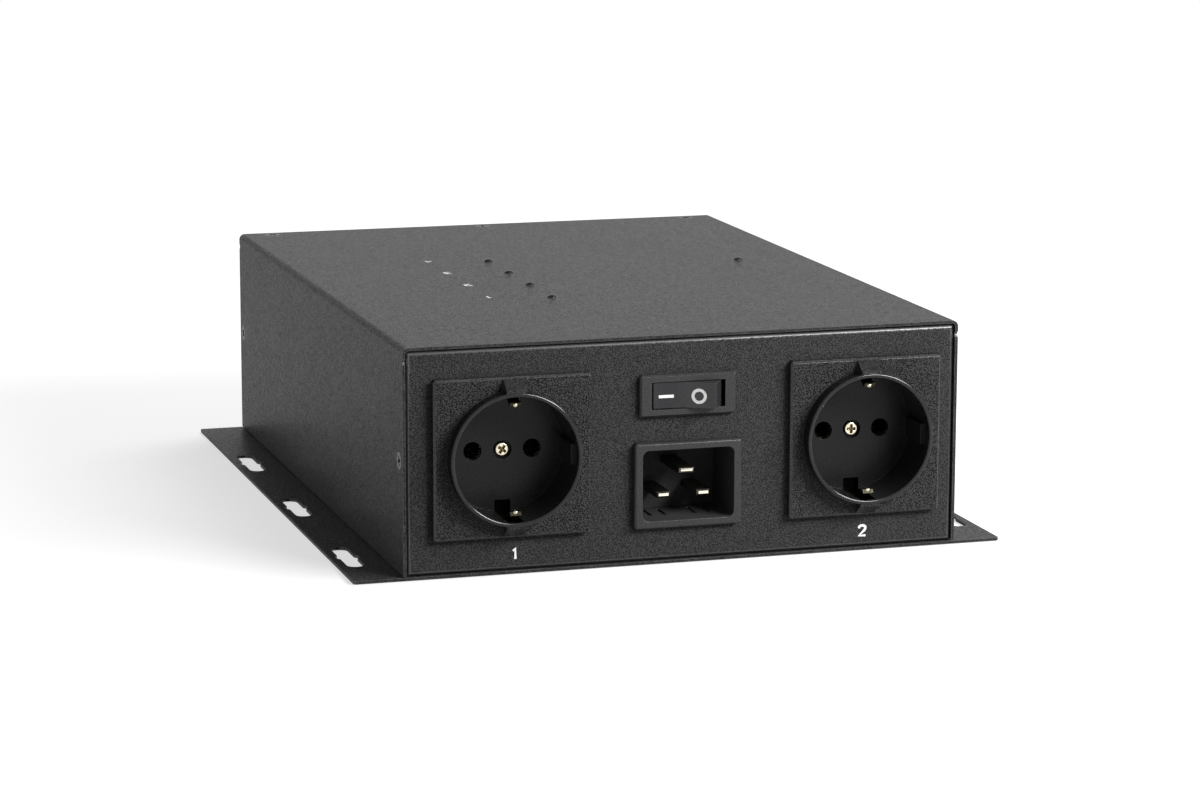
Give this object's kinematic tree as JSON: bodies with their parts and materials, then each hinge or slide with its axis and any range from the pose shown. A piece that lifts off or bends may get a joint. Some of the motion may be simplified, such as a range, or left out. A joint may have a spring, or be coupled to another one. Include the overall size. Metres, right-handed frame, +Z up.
{
  "type": "power distribution unit",
  "caption": "Flat sheet-metal power distribution box with slotted mounting ears, earthed round outlets, a blade inlet and a rocker switch.",
  "frame": {"origin": "middle of the bounding box at the underside of the base plate", "axes": "+Z up, +X to the right seen from the side with the inlet and switch, +Y towards the far side with the network jack"},
  "size_m": [0.211, 0.2578, 0.0729],
  "materials": {
    "case_paint": "fine textured powder coat, matt",
    "black_screw": "blackened steel",
    "outlet_plastic": "fine grained moulding, black",
    "frame_plastic": "smooth moulding, black",
    "rocker_plastic": "smooth moulding, black",
    "inner_plastic": "moulded, dark",
    "block_plastic": "moulded, green",
    "white_nylon": "natural nylon",
    "board_laminate": "solder mask, green",
    "lamp_lens": "unlit dark lens",
    "bright_screw": "nickel plated brass",
    "contact_metal": "plated brass",
    "spring_metal": "plated spring strip",
    "jack_shield": "tinned shield",
    "line_insulation": "brown insulation",
    "neutral_insulation": "blue insulation",
    "earth_insulation": "green and yellow insulation"
  },
  "bodies": {
    "case": {"base_plate": "case_paint", "board_supports": "white_nylon", "control_board": "board_laminate", "controller_chip": "inner_plastic", "cover": "case_paint", "cover_side_screws": "black_screw", "cover_top_screws": "black_screw", "earth_tab": "spring_metal", "earth_wires": "earth_insulation", "front_panel": "case_paint", "inlet_earth_lead": "earth_insulation", "inlet_earth_pin": "contact_metal", "inlet_housing": "frame_plastic", "inlet_line_lead": "line_insulation", "inlet_line_pin": "contact_metal", "inlet_neutral_pin": "contact_metal", "lamp_leads": "inner_plastic", "line_wires": "line_insulation", "link_lamp": "lamp_lens", "network_jack": "jack_shield", "neutral_wires": "neutral_insulation", "outlet_lamp_1": "lamp_lens", "outlet_lamp_2": "lamp_lens", "outlet_lamp_3": "lamp_lens", "outlet_lamp_4": "lamp_lens", "rear_panel": "case_paint", "relay_1": "inner_plastic", "relay_2": "inner_plastic", "relay_3": "inner_plastic", "relay_4": "inner_plastic", "socket_1_cap": "inner_plastic", "socket_1_contacts": "contact_metal", "socket_1_earth_strap": "spring_metal", "socket_1_housing": "outlet_plastic", "socket_1_screw": "bright_screw", "socket_2_cap": "inner_plastic", "socket_2_contacts": "contact_metal", "socket_2_earth_strap": "spring_metal", "socket_2_housing": "outlet_plastic", "socket_2_screw": "bright_screw", "socket_3_cap": "inner_plastic", "socket_3_contacts": "contact_metal", "socket_3_earth_strap": "spring_metal", "socket_3_housing": "outlet_plastic", "socket_3_screw": "bright_screw", "socket_4_cap": "inner_plastic", "socket_4_contacts": "contact_metal", "socket_4_earth_strap": "spring_metal", "socket_4_housing": "outlet_plastic", "socket_4_screw": "bright_screw", "supply_module": "inner_plastic", "switch_common_terminal": "contact_metal", "switch_housing": "frame_plastic", "switch_line_lead": "line_insulation", "switch_throw_terminal": "contact_metal", "terminal_blocks": "block_plastic"},
    "rocker": {"switch_rocker": "rocker_plastic", "switch_plunger": "rocker_plastic"},
    "lever": {"switch_contact_lever": "contact_metal"}
  },
  "joints": [
    {"name": "rocker_pivot", "type": "hinge", "parent": "case", "child": "rocker", "pos_m": [0.0004, -0.11825, 0.0533], "axis": [0, 0, 1], "range_deg": [0, 32]},
    {"name": "lever_pivot", "type": "hinge", "parent": "case", "child": "lever", "pos_m": [0.0004, -0.10825, 0.0533], "axis": [0, 0, 1], "range_deg": [-14, 0]}
  ],
  "couplings": [
    {"joint": "lever_pivot", "follows": "rocker_pivot", "ratio": -0.4375}
  ]
}
